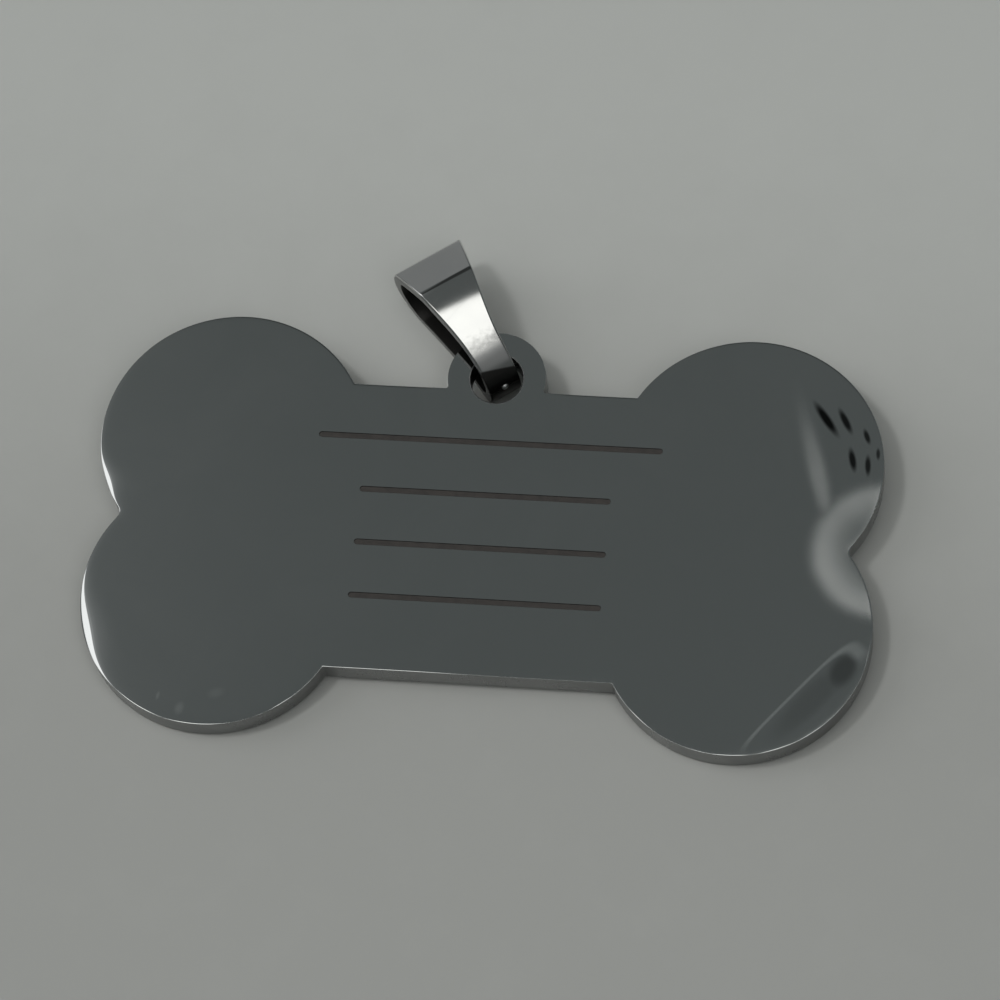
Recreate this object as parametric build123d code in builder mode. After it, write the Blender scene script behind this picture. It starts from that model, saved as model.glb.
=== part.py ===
from build123d import *
import os
from math import atan2, cos, hypot, radians, sin, sqrt

# Pet identity tag: a bone-shaped plate of polished stainless steel with a pierced ear,
# and a tapered steel strap folded through the ear as a swinging bail.
# Millimetres. +Z leaves the marked face, +Y points to the ear, and the origin is
# the middle of the bone on its back face.

# Plate
tag_length = 50.0
lobe_radius = 8.5
lobe_spread = 10.9
waist_width = 19.3
plate_thickness = 2.0
notch_radius = 0.6
corner_radius = 0.15
plate_edge_radius = 0.3

# Ear on the upper edge
ear_rise = 0.85
ear_radius = 3.15
hole_radius = 1.7

# Etched rules on the face, from the ear downwards
rule_lengths = (22.0, 16.0, 16.0, 16.0)
rule_width = 0.4
rule_depth = 0.08
rule_pitch = 3.6
first_rule_drop = 3.6

# Bail
strap_thickness = 0.8
bail_length = 10.45
crown_width = 5.0
front_rise = 0.5
crease_reach = 4.6
crease_angle = 22.0
press_radius = 16.0
heel_radius = 1.4
shoulder_radius = 0.15
side_radius = 15.0
bail_turn = 34.8
bail_slide = 0.25
seam_gap = 0.1
seam_angle = 12.0
bead_radius = 0.3

# Clearances between the bail and the ear
throat_clearance = 0.35
swing_clearance = 0.12
foot_clearance = 0.36

# Places on the plate
lobe_x = tag_length / 2 - lobe_radius
ear_y = waist_width / 2 + ear_rise

# Swing axis: it crosses the ear's rim along the strap's width, midway between the rim's
# outer edge and the place where the strap's sides meet the hole. The bail rests a little to
# the right of the hole's middle, so its right side sets that place.
throat_reach = hole_radius - throat_clearance
throat_half = throat_reach - bail_slide
rim_inner = sqrt(hole_radius**2 - throat_reach**2)
axis_offset = (ear_radius + rim_inner) / 2
rim_half = (ear_radius - rim_inner) / 2
rim_reach = plate_edge_radius + hypot(rim_half - plate_edge_radius, plate_thickness / 2 - plate_edge_radius)

# Bail's loop around that axis, measured to the outside of the strap
back_reach = rim_reach + swing_clearance + strap_thickness
foot_reach = axis_offset + rim_inner - foot_clearance
front_reach = foot_reach + front_rise
crown_reach = bail_length - foot_reach
crown_radius = (front_reach + back_reach) / 2
crown_x = crown_reach - crown_radius
heel_x = -sqrt(foot_reach**2 - back_reach**2)

# Front leg: one shallow arc from the crown down to the foot, and its slope where they meet
front_slope = 2 * atan2(front_rise, crown_x)
front_foot = (-foot_reach * sin(front_slope), foot_reach * cos(front_slope))

# Crown: pressed flatter by a wide arc that starts at a crease across the front leg
press_x = crease_reach - press_radius * sin(radians(crease_angle))
press_y = front_reach - press_radius * cos(radians(crease_angle))

# Directions along the bail, across its strap, and the point where its axis crosses the rim
along = Vector(-sin(radians(bail_turn)), cos(radians(bail_turn)), 0)
across = Vector(cos(radians(bail_turn)), sin(radians(bail_turn)), 0)
axis_point = Vector(0, ear_y, plate_thickness / 2) + along * axis_offset + across * bail_slide
loop_plane = Plane(origin=axis_point, x_dir=along, z_dir=across)
taper_plane = Plane(origin=axis_point, x_dir=along, z_dir=(0, 0, 1))

os.makedirs("parts", exist_ok=True)


# Bone plate with its ear
with BuildPart() as tag_plate:
    with BuildSketch(Plane.XY) as outline:
        with GridLocations(2 * lobe_x, lobe_spread, 2, 2):
            Circle(lobe_radius)
        Rectangle(2 * lobe_x, waist_width)
        with Locations((0, ear_y)):
            Circle(ear_radius)
        notches = outline.vertices().filter_by(lambda v: abs(v.Y) < lobe_spread / 4)
        fillet(notches, notch_radius)
        corners = outline.vertices().filter_by(lambda v: abs(abs(v.Y) - waist_width / 2) < 0.01)
        fillet(corners, corner_radius)
        with Locations((0, ear_y)):
            Circle(hole_radius, mode=Mode.SUBTRACT)
    extrude(amount=plate_thickness)
    faces_by_height = tag_plate.faces().sort_by(Axis.Z)
    fillet(faces_by_height[0].edges() + faces_by_height[-1].edges(), plate_edge_radius)
    with BuildSketch(Plane.XY.offset(plate_thickness)) as rules:
        for row, rule_length in enumerate(rule_lengths):
            with Locations((0, waist_width / 2 - first_rule_drop - row * rule_pitch)):
                SlotOverall(rule_length, rule_width)
    extrude(amount=-rule_depth, mode=Mode.SUBTRACT)

tag_plate.part.label = "tag_plate"
export_step(tag_plate.part, "parts/tag_plate.step")


# Folded strap bail, its foot curved about the swing axis
with BuildPart() as bail:
    with BuildSketch(loop_plane) as loop:
        with BuildLine() as outside:
            back = Line((crown_x, -back_reach), (heel_x, -back_reach))
            foot = ThreePointArc(back @ 1, (-foot_reach, 0), front_foot)
            front = TangentArc(foot @ 1, (crown_x, front_reach), tangent=foot % 1)
            TangentArc(front @ 1, back @ 0, tangent=front % 1)
        make_face()
        with Locations((press_x, press_y)):
            Circle(press_radius, mode=Mode.INTERSECT)
        heel = loop.vertices().sort_by_distance((heel_x, -back_reach))[0]
        fillet(heel, heel_radius)
    extrude(amount=crown_width, both=True)
    with BuildSketch(taper_plane) as strap_plan:
        with BuildLine() as sides:
            Polyline(
                (-foot_reach, -throat_half),
                (0, -throat_half),
                (crown_reach, -crown_width / 2),
                (crown_reach, crown_width / 2),
                (0, throat_half),
                (-foot_reach, throat_half),
                close=True,
            )
        make_face()
        bends = strap_plan.vertices().filter_by(lambda v: abs(v.X) < 0.01)
        fillet(bends, side_radius)
    extrude(amount=front_reach + back_reach, both=True, mode=Mode.INTERSECT)
    shoulders = bail.edges().filter_by(Axis.Z, reverse=True)
    shoulders = shoulders.filter_by(Axis(axis_point, across), reverse=True)
    fillet(shoulders, shoulder_radius)
    with BuildSketch(loop_plane) as eye:
        offset(loop.sketch_local, amount=-strap_thickness, mode=Mode.ADD)
    extrude(amount=crown_width, both=True, mode=Mode.SUBTRACT)
    with BuildSketch(loop_plane) as seam:
        with PolarLocations(foot_reach - strap_thickness / 2, 1, start_angle=180 - seam_angle):
            Rectangle(2 * strap_thickness, seam_gap)
    extrude(amount=crown_width, both=True, mode=Mode.SUBTRACT)
    with Locations(loop_plane):
        with PolarLocations(foot_reach - bead_radius / 2, 1, start_angle=180 - seam_angle):
            Sphere(bead_radius)

bail.part.label = "bail"
export_step(bail.part, "parts/bail.step")
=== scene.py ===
from math import atan2, cos, degrees, hypot, pi, radians, sin, sqrt, tan

import bmesh
import bpy
import numpy as np
from mathutils import Matrix, Vector
from mathutils.geometry import delaunay_2d_cdt


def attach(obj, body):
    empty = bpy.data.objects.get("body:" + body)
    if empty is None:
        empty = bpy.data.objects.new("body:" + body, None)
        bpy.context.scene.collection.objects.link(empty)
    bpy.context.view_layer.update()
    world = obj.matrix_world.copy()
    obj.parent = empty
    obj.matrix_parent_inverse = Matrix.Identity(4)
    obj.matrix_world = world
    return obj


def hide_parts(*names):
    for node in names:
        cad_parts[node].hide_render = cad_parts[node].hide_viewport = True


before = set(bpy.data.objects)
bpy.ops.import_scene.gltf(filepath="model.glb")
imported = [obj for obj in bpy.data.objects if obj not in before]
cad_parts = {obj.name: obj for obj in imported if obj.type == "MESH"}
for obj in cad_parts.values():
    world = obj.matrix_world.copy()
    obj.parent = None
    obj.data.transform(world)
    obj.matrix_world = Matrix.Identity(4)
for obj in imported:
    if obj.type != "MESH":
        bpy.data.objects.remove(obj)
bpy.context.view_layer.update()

# Sizes in millimetres, the same as in the part's source
MM = 0.001
TAG_LENGTH = 50.0
LOBE_RADIUS = 8.5
LOBE_SPREAD = 10.9
WAIST_WIDTH = 19.3
PLATE_THICKNESS = 2.0
NOTCH_RADIUS = 0.6
CORNER_RADIUS = 0.15
PLATE_EDGE_RADIUS = 0.3
EAR_RISE = 0.85
EAR_RADIUS = 3.15
HOLE_RADIUS = 1.7
RULE_LENGTHS = (22.0, 16.0, 16.0, 16.0)
RULE_WIDTH = 0.4
RULE_DEPTH = 0.08
RULE_PITCH = 3.6
FIRST_RULE_DROP = 3.6
STRAP_THICKNESS = 0.8
BAIL_LENGTH = 10.45
CROWN_WIDTH = 5.0
FRONT_RISE = 0.5
CREASE_REACH = 4.6
CREASE_ANGLE = 22.0
PRESS_RADIUS = 16.0
HEEL_RADIUS = 1.4
SHOULDER_RADIUS = 0.15
SIDE_RADIUS = 15.0
BAIL_TURN = 34.8
BAIL_SLIDE = 0.25
SEAM_GAP = 0.1
SEAM_ANGLE = 12.0
BEAD_RADIUS = 0.3
THROAT_CLEARANCE = 0.35
SWING_CLEARANCE = 0.12
FOOT_CLEARANCE = 0.36

# Places that follow from those sizes
LOBE_X = TAG_LENGTH / 2 - LOBE_RADIUS
LOBE_Y = LOBE_SPREAD / 2
WAIST_HALF = WAIST_WIDTH / 2
EAR_Y = WAIST_HALF + EAR_RISE
THROAT_REACH = HOLE_RADIUS - THROAT_CLEARANCE
THROAT_HALF = THROAT_REACH - BAIL_SLIDE
RIM_INNER = sqrt(HOLE_RADIUS**2 - THROAT_REACH**2)
AXIS_OFFSET = (EAR_RADIUS + RIM_INNER) / 2
RIM_HALF = (EAR_RADIUS - RIM_INNER) / 2
RIM_REACH = PLATE_EDGE_RADIUS + hypot(RIM_HALF - PLATE_EDGE_RADIUS, PLATE_THICKNESS / 2 - PLATE_EDGE_RADIUS)
BACK_REACH = RIM_REACH + SWING_CLEARANCE + STRAP_THICKNESS
FOOT_REACH = AXIS_OFFSET + RIM_INNER - FOOT_CLEARANCE
FRONT_REACH = FOOT_REACH + FRONT_RISE
CROWN_REACH = BAIL_LENGTH - FOOT_REACH
CROWN_RADIUS = (FRONT_REACH + BACK_REACH) / 2
CROWN_X = CROWN_REACH - CROWN_RADIUS
STRAP_TRIM = 0.02
TAPER = (CROWN_WIDTH / 2 - STRAP_TRIM - THROAT_HALF) / CROWN_REACH
SIDE_BLEND = SIDE_RADIUS * TAPER**2
ALONG = Vector((-sin(radians(BAIL_TURN)), cos(radians(BAIL_TURN)), 0))
ACROSS = Vector((cos(radians(BAIL_TURN)), sin(radians(BAIL_TURN)), 0))
AXIS_POINT = Vector((0, EAR_Y, PLATE_THICKNESS / 2)) + ALONG * AXIS_OFFSET + ACROSS * BAIL_SLIDE


def smooth_step(low, high, value):
    share = np.clip((np.asarray(value, float) - low) / (high - low), 0, 1)
    return share * share * (3 - 2 * share)


# Bone outline
OUTLINE_STEP = 0.22


def arc_run(centre, radius, start, end):
    """Points on an arc between two angles in degrees, and the directions that leave the metal."""
    count = max(8, round(abs(radians(end - start)) * radius / OUTLINE_STEP))
    angles = np.radians(np.linspace(start, end, count + 1))
    rays = np.column_stack((np.cos(angles), np.sin(angles)))
    return np.array(centre) + radius * rays, rays if end > start else -rays


def bone_outline():
    """The plate's outline, counter-clockwise from its right notch, with the directions that leave it."""
    notch_reach = sqrt((LOBE_RADIUS + NOTCH_RADIUS) ** 2 - LOBE_Y**2)
    notch_turn = degrees(atan2(LOBE_Y, notch_reach))
    corner_y = WAIST_HALF + CORNER_RADIUS
    corner_reach = sqrt((LOBE_RADIUS + CORNER_RADIUS) ** 2 - (corner_y - LOBE_Y) ** 2)
    corner_turn = degrees(atan2(corner_y - LOBE_Y, corner_reach))
    corner_x = LOBE_X - corner_reach
    ear_drop = EAR_Y - corner_y
    ear_reach = sqrt((EAR_RADIUS + CORNER_RADIUS) ** 2 - ear_drop**2)
    ear_turn = degrees(atan2(ear_drop, ear_reach))
    notch_x = LOBE_X + notch_reach
    runs = [
        arc_run((notch_x, 0), NOTCH_RADIUS, 180 + notch_turn, 180 - notch_turn),
        arc_run((LOBE_X, LOBE_Y), LOBE_RADIUS, -notch_turn, 180 - corner_turn),
        arc_run((corner_x, corner_y), CORNER_RADIUS, -corner_turn, -90),
        arc_run((ear_reach, corner_y), CORNER_RADIUS, -90, -180 - ear_turn),
        arc_run((0, EAR_Y), EAR_RADIUS, -ear_turn, 180 + ear_turn),
        arc_run((-ear_reach, corner_y), CORNER_RADIUS, ear_turn, -90),
        arc_run((-corner_x, corner_y), CORNER_RADIUS, -90, corner_turn - 180),
        arc_run((-LOBE_X, LOBE_Y), LOBE_RADIUS, corner_turn, 180 + notch_turn),
        arc_run((-notch_x, 0), NOTCH_RADIUS, notch_turn, -notch_turn),
        arc_run((-LOBE_X, -LOBE_Y), LOBE_RADIUS, 180 - notch_turn, 360 - corner_turn),
        arc_run((-corner_x, -corner_y), CORNER_RADIUS, 180 - corner_turn, 90),
        arc_run((corner_x, -corner_y), CORNER_RADIUS, 90, corner_turn),
        arc_run((LOBE_X, -LOBE_Y), LOBE_RADIUS, 180 + corner_turn, 360 + notch_turn),
    ]
    points, leaving = [], []
    for place, (run, rays) in enumerate(runs):
        following = runs[(place + 1) % len(runs)][0][0]
        gap = np.linalg.norm(following - run[-1])
        straight = max(1, round(gap / OUTLINE_STEP))
        points.extend(run[:-1])
        leaving.extend(rays[:-1])
        if gap > OUTLINE_STEP:
            for share in np.linspace(0, 1, straight + 1)[:-1]:
                points.append(run[-1] + (following - run[-1]) * share)
                leaving.append(rays[-1])
    return np.array(points), np.array(leaving)


outline, outline_leaving = bone_outline()

# Places that are measured against the outline at once
BATCH = 2000


def depth_inside(places):
    """Distance in millimetres from each place to the nearest edge of the outline."""
    run = np.roll(outline, -1, axis=0) - outline
    size = (run**2).sum(1)
    nearest = np.empty(len(places))
    for first in range(0, len(places), BATCH):
        offset = places[first : first + BATCH, None, :] - outline[None]
        share = np.clip((offset * run).sum(2) / size, 0, 1)
        nearest[first : first + BATCH] = np.sqrt(((offset - share[..., None] * run) ** 2).sum(2).min(1))
    return nearest


# Buffed shape of the face: it falls away a little before the two left crescents
ROLL_BAND = 0.8
ROLL_DROP = 0.004
LEFT_ROLL_BAND = 2.2
LEFT_ROLL_DROP = 0.07
ROLL_POWER = 2.6
FLAT_BY_EAR = (3.6, 6.5)

# Left crescents: the middle, spread and extra rim width of each
CRESCENTS = ((-7.9, 2.5, 0.66), (2.2, 1.25, 0.36))
CRESCENT_START = (18, 21)

# Rolled rim: its widths along the far edge, the left, the near edge, the right and round the ear,
# and the slopes at which it meets the wall
RIM_WIDTH = 0.1
LEFT_RIM_WIDTH = 0.03
NEAR_RIM_WIDTH = 0.005
RIGHT_RIM_WIDTH = 0.015
EAR_RIM_WIDTH = 0.012
RIM_SLOPE = radians(40)
NEAR_RIM_SLOPE = radians(28)

# Bright stretches of the near rim: middle and half length along the bone, and added width of each
BRIGHT_RIMS = (
    (-20.8, 1.5, 0.055),
    (-16.7, 1.6, 0.05),
    (-10.3, 1.3, 0.05),
    (-5.4, 4.4, 0.035),
    (10.4, 1.1, 0.05),
    (14.9, 0.8, 0.014),
    (16.75, 1.0, 0.042),
    (19.6, 0.95, 0.042),
    (21.1, 0.6, 0.012),
)

# Where one stretch of rim passes into the next: by the direction that leaves the metal, with 1 straight
# to that side, by the width that a crescent adds, and by the distance from the ear's middle
NEAR_TURN = (0.05, 0.6)
LEFT_TURN = (0.3, 0.7)
RIGHT_TURN = (0.5, 0.72)
RIGHT_NEAR_TURN = (0.1, 0.4)
CRESCENT_TURN = (0.3, 0.8)
CRESCENT_FADE = (0.05, 0.25)
EAR_FADE = (3.4, 5.0)


def crescent_share(places):
    """How strongly each place belongs to the left crescents, from 0 to 1, and the rim width they add."""
    left = smooth_step(*CRESCENT_START, -places[:, 0])
    added = sum(
        gain * np.exp(-(((places[:, 1] - middle) / spread) ** 2))
        for middle, spread, gain in CRESCENTS
    )
    return left * added / CRESCENTS[0][2], left * added


def roll_off(places, depth):
    """How far the buffed face lies below the plate's top at these places."""
    left, _ = crescent_share(places)
    ear = smooth_step(*FLAT_BY_EAR, np.hypot(places[:, 0], places[:, 1] - EAR_Y))
    band = ROLL_BAND + (LEFT_ROLL_BAND - ROLL_BAND) * left
    drop = (ROLL_DROP + (LEFT_ROLL_DROP - ROLL_DROP) * left) * ear
    return drop * np.clip(1 - depth / band, 0, 1) ** ROLL_POWER


def rim_sizes(places, leaving):
    """Width of the rolled rim round the outline, and the slope at which it meets the wall."""
    _, crescent = crescent_share(places)
    to_right, to_far = leaving.T
    near = smooth_step(*NEAR_TURN, -to_far) * (1 - smooth_step(*RIGHT_TURN, to_right))
    near = near * (1 - smooth_step(*CRESCENT_TURN, -to_right) * smooth_step(*CRESCENT_FADE, crescent))
    ear = 1 - smooth_step(*EAR_FADE, np.hypot(places[:, 0], places[:, 1] - EAR_Y))
    bright = sum(
        more * np.exp(-(((places[:, 0] - middle) / half) ** 4))
        for middle, half, more in BRIGHT_RIMS
    )
    left = smooth_step(*LEFT_TURN, -to_right)
    width = RIM_WIDTH + (LEFT_RIM_WIDTH - RIM_WIDTH) * left
    width = width + crescent + (NEAR_RIM_WIDTH + bright - width) * near
    right = smooth_step(*RIGHT_TURN, to_right) * smooth_step(*RIGHT_NEAR_TURN, -to_far)
    width = width + (RIGHT_RIM_WIDTH - width) * right
    width = width + (EAR_RIM_WIDTH - width) * ear
    return width, RIM_SLOPE + (NEAR_RIM_SLOPE - RIM_SLOPE) * near


# Fineness of the plate's mesh, the room left between the face's grid and its edges, the hole's rim,
# and the share by which a slot narrows to its floor
RIM_SHARES = np.linspace(0, 1, 11)
ROLL_RINGS = (0.8, 0.5, 0.25)
BACK_TURNS = np.radians(np.linspace(0, 90, 6))
FACE_GRID = 0.34
GRID_GUARD = 0.12
HOLE_GRID_GUARD = 0.15
HOLE_RIM = 0.02
HOLE_GUARD = 0.06
HOLE_STEPS = 72
HOLE_TURNS = np.radians((0, 30, 60, 90))
SLOT_END_STEPS = 11
SLOT_DRAFT = 0.1


def slot_loop(reach, middle_y):
    """Outline of one etched rule, counter-clockwise."""
    right = np.radians(np.linspace(-90, 90, SLOT_END_STEPS))
    left = np.radians(np.linspace(90, 270, SLOT_END_STEPS))
    half = RULE_WIDTH / 2
    ends = [(reach + half * cos(a), middle_y + half * sin(a)) for a in right]
    ends += [(-reach + half * cos(a), middle_y + half * sin(a)) for a in left]
    return np.array(ends)


def rule_rows():
    """Half the straight length of each etched rule, and its place."""
    first_y = WAIST_HALF - FIRST_RULE_DROP
    rows = enumerate(RULE_LENGTHS)
    return [((length - RULE_WIDTH) / 2, first_y - row * RULE_PITCH) for row, length in rows]


def triangles_between(loops, scattered):
    """Triangles that fill the first loop, keep to the edges of the others and leave those open."""
    places = [Vector(p) for loop in loops for p in loop] + [Vector(p) for p in scattered]
    owners = [place for place, loop in enumerate(loops) for _ in loop] + [0] * len(scattered)
    edges, first, outer = [], 0, None
    for loop in loops:
        count = len(loop)
        edges += [(first + i, first + (i + 1) % count) for i in range(count)]
        outer = outer or [list(range(count))]
        first += count
    found = delaunay_2d_cdt(places, edges, outer, 1, 1e-6)
    source = [old[0] for old in found[3]]
    faces = [[source[i] for i in face] for face in found[2]]
    return [face for face in faces if owners[face[0]] == 0 or len({owners[i] for i in face}) > 1]


def plate_mesh():
    """The whole plate: buffed face with etched slots, rounded rims, side wall, hole and back."""
    corners, faces = [], []

    def add_ring(places, heights):
        first = len(corners)
        corners.extend((x, y, z) for (x, y), z in zip(places, np.broadcast_to(heights, len(places))))
        return first

    def join_rings(upper, lower, count, turned):
        for i in range(count):
            k = (i + 1) % count
            ring = (upper + i, lower + i, lower + k, upper + k)
            faces.append(ring[::-1] if turned else ring)

    # Rim, wall and back edge round the outline
    count = len(outline)
    rim_width, rim_slope = rim_sizes(outline, outline_leaving)
    steps = [(rim_width + more, np.zeros(count)) for more in ROLL_RINGS]
    for share in RIM_SHARES:
        inset = rim_width * (1 - np.sin(rim_slope * share) / np.sin(rim_slope))
        fall = rim_width * (1 - np.cos(rim_slope * share)) / np.sin(rim_slope)
        steps.append((inset, fall))
    rings, inner_loop = [], None
    for inset, fall in steps:
        places = outline - outline_leaving * inset[:, None]
        heights = PLATE_THICKNESS - fall - roll_off(places, inset)
        rings.append(add_ring(places, heights))
        inner_loop = places if inner_loop is None else inner_loop
    inner_first, last_rim = rings[0], rings[-1]
    for turn in BACK_TURNS:
        places = outline - outline_leaving * PLATE_EDGE_RADIUS * (1 - cos(turn))
        rings.append(add_ring(places, PLATE_EDGE_RADIUS * (1 - sin(turn))))
        back_loop, back_first = places, rings[-1]
    for upper, lower in zip(rings[: len(steps)], rings[1 : len(steps)]):
        join_rings(upper, lower, count, False)
    first_dull = len(faces)
    for upper, lower in zip(rings[len(steps) - 1 :], rings[len(steps) :]):
        join_rings(upper, lower, count, False)

    # Pierced hole
    turns = np.linspace(0, 2 * pi, HOLE_STEPS, endpoint=False)
    rays = np.column_stack((np.cos(turns), np.sin(turns)))
    hole_rings = []
    profile = [(HOLE_RIM + HOLE_GUARD, PLATE_THICKNESS)]
    for turn in HOLE_TURNS[::-1]:
        profile.append((HOLE_RIM * (1 - cos(turn)), PLATE_THICKNESS - HOLE_RIM * (1 - sin(turn))))
    for turn in HOLE_TURNS:
        profile.append((PLATE_EDGE_RADIUS * (1 - cos(turn)), PLATE_EDGE_RADIUS * (1 - sin(turn))))
    for grow, height in profile:
        places = np.array((0, EAR_Y)) + rays * (HOLE_RADIUS + grow)
        hole_rings.append((add_ring(places, height), places))
    for (upper, _), (lower, _) in zip(hole_rings, hole_rings[1:]):
        join_rings(upper, lower, HOLE_STEPS, True)
    last_dull = len(faces)

    # Face, between the rim, the hole and the etched slots
    loops, firsts = [inner_loop, hole_rings[0][1]], [inner_first, hole_rings[0][0]]
    sharp_edges = [(last_rim, count)]
    for reach, middle in rule_rows():
        loop = slot_loop(reach, middle)
        upper = add_ring(loop, PLATE_THICKNESS)
        spine = np.column_stack((np.clip(loop[:, 0], -reach, reach), np.full(len(loop), middle)))
        lower = add_ring(loop + (spine - loop) * SLOT_DRAFT, PLATE_THICKNESS - RULE_DEPTH)
        join_rings(upper, lower, len(loop), True)
        faces.append(tuple(lower + i for i in range(len(loop))))
        sharp_edges += [(upper, len(loop)), (lower, len(loop))]
        loops.append(loop)
        firsts.append(upper)
    across = np.arange(-TAG_LENGTH / 2, TAG_LENGTH / 2, FACE_GRID)
    upward = np.arange(-LOBE_Y - LOBE_RADIUS, EAR_Y + EAR_RADIUS, FACE_GRID)
    grid = np.array([(x + (row % 2) * FACE_GRID / 2, y) for row, y in enumerate(upward) for x in across])
    inside = np.zeros(len(grid), bool)
    for (x0, y0), (x1, y1) in zip(outline, np.roll(outline, -1, axis=0)):
        crosses = (y0 > grid[:, 1]) != (y1 > grid[:, 1])
        if crosses.any():
            inside ^= crosses & (grid[:, 0] < (x1 - x0) * (grid[:, 1] - y0) / (y1 - y0) + x0)
    grid = grid[inside]
    deep = depth_inside(grid)
    keep = deep > rim_width.max() + ROLL_RINGS[0] + GRID_GUARD
    ear_grid = np.hypot(grid[:, 0], grid[:, 1] - EAR_Y)
    keep &= ear_grid > HOLE_RADIUS + HOLE_RIM + HOLE_GUARD + HOLE_GRID_GUARD
    for reach, middle in rule_rows():
        away = np.hypot(np.clip(np.abs(grid[:, 0]) - reach, 0, None), grid[:, 1] - middle)
        keep &= away > RULE_WIDTH / 2 + GRID_GUARD
    grid, deep = grid[keep], deep[keep]
    grid_first = add_ring(grid, PLATE_THICKNESS - roll_off(grid, deep))
    index = [first + i for loop, first in zip(loops, firsts) for i in range(len(loop))]
    index += list(range(grid_first, grid_first + len(grid)))
    faces.extend(tuple(index[i] for i in face) for face in triangles_between(loops, grid))

    # Back
    index = [back_first + i for i in range(count)]
    index += [hole_rings[-1][0] + i for i in range(HOLE_STEPS)]
    for face in triangles_between([back_loop, hole_rings[-1][1]], []):
        faces.append(tuple(index[i] for i in reversed(face)))

    mesh = bpy.data.meshes.new("polished_plate")
    mesh.from_pydata([tuple(c * MM for c in corner) for corner in corners], [], faces)
    sharp = {
        frozenset((first + i, first + (i + 1) % size))
        for first, size in sharp_edges
        for i in range(size)
    }
    for face in mesh.polygons:
        face.use_smooth = True
        face.material_index = int(first_dull <= face.index < last_dull)
    for edge in mesh.edges:
        edge.use_edge_sharp = frozenset(edge.vertices) in sharp
    return mesh


def new_piece(name, mesh):
    piece = bpy.data.objects.new(name, mesh)
    bpy.context.scene.collection.objects.link(piece)
    return piece


def settled(piece):
    """The piece's mesh with its modifiers worked in, and the modifiers removed."""
    bpy.context.view_layer.update()
    finished = piece.evaluated_get(bpy.context.evaluated_depsgraph_get())
    mesh = bpy.data.meshes.new_from_object(finished)
    piece.modifiers.clear()
    piece.data = mesh
    mesh.name = piece.name
    return piece


# Node building
def feed(tree, socket, value):
    """Gives a socket a value, or links another node's output to it."""
    if isinstance(value, bpy.types.NodeSocket):
        tree.links.new(value, socket)
    else:
        socket.default_value = value


def add_node(tree, kind, settings=None, **inputs):
    """A node with its settings and inputs. An input goes by its name, or by i and its number."""
    node = tree.nodes.new(kind)
    for name, value in (settings or {}).items():
        setattr(node, name, value)
    for name, value in inputs.items():
        numbered = name[0] == "i" and name[1:].isdigit()
        feed(tree, node.inputs[int(name[1:]) if numbered else name.replace("_", " ")], value)
    return node


def made(tree, kind, settings=None, **inputs):
    """The first output of a new node."""
    return add_node(tree, kind, settings, **inputs).outputs[0]


def sum_up(tree, operation, first, second=0.0, third=0.0):
    """A Math node's output."""
    return made(tree, "ShaderNodeMath", {"operation": operation}, i0=first, i1=second, i2=third)


def times(tree, first, second):
    return sum_up(tree, "MULTIPLY", first, second)


def soft_step(tree, value, start, end, first=0.0, last=1.0):
    """A soft step from one value to another, between two sizes of the input."""
    return made(
        tree, "ShaderNodeMapRange", {"interpolation_type": "SMOOTHSTEP"}, Value=value,
        From_Min=start, From_Max=end, To_Min=first, To_Max=last,
    )


def dot(tree, first, second):
    """How far one direction or place goes along another."""
    return add_node(
        tree, "ShaderNodeVectorMath", {"operation": "DOT_PRODUCT"}, i0=first, i1=second,
    ).outputs["Value"]


def held_on(tree, geometry, **values):
    """Keeps values on a geometry while later nodes move it. Gives the node's outputs."""
    node = tree.nodes.new("GeometryNodeCaptureAttribute")
    tree.links.new(geometry, node.inputs["Geometry"])
    for name, value in values.items():
        node.capture_items.new("FLOAT", name)
        feed(tree, node.inputs[name], value)
    return node.outputs


def joined(tree, *geometries):
    """Several geometries as one."""
    node = tree.nodes.new("GeometryNodeJoinGeometry")
    for geometry in geometries:
        tree.links.new(geometry, node.inputs[0])
    return node.outputs[0]


SOCKET_KINDS = {
    bpy.types.Material: "NodeSocketMaterial",
    int: "NodeSocketInt",
    float: "NodeSocketFloat",
    tuple: "NodeSocketVector",
}


def new_input(tree, name, value):
    """An input of a tree, of the kind that takes this value."""
    kind = next(kind for form, kind in SOCKET_KINDS.items() if isinstance(value, form))
    return tree.interface.new_socket(name, in_out="INPUT", socket_type=kind)


def new_shape_tree(name, values, geometry_in):
    """An empty Geometry Nodes tree with an input for each named value, its inputs and its end."""
    tree = bpy.data.node_groups.new(name, "GeometryNodeTree")
    if geometry_in:
        tree.interface.new_socket("Geometry", in_out="INPUT", socket_type="NodeSocketGeometry")
    for size, value in values.items():
        new_input(tree, size, value)
    tree.interface.new_socket("Geometry", in_out="OUTPUT", socket_type="NodeSocketGeometry")
    return tree, tree.nodes.new("NodeGroupInput").outputs, tree.nodes.new("NodeGroupOutput").inputs[0]


def shaped_by(piece, tree, values):
    """Runs a Geometry Nodes tree on a piece with these inputs and keeps the plain mesh."""
    modifier = piece.modifiers.new(tree.name, "NODES")
    modifier.node_group = tree
    names = {s.name: s.identifier for s in tree.interface.items_tree if s.in_out == "INPUT"}
    for name, value in values.items():
        modifier[names[name]] = value
    return settled(piece)


# Bail: a tapered strap that follows a folded path. It is pressed flatter from a crease to its crown, and
# the part in the hole is painted near-black as shade, like the inner faces. The steps are counts of points
# along the path.
THROAT_START = -2.2
CREASE_BLEND = 0.1
INNER_BREAK = 0.06
BEAD_UNEVENNESS = 0.05
FOOT_STEPS = 36
FRONT_STEPS = 160
CROWN_STEPS = 150
BACK_STEPS = 24
HEEL_STEPS = 16
END_STEPS = 14
PRESS_X = CREASE_REACH - PRESS_RADIUS * sin(radians(CREASE_ANGLE))
PRESS_Y = FRONT_REACH - PRESS_RADIUS * cos(radians(CREASE_ANGLE))


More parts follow.
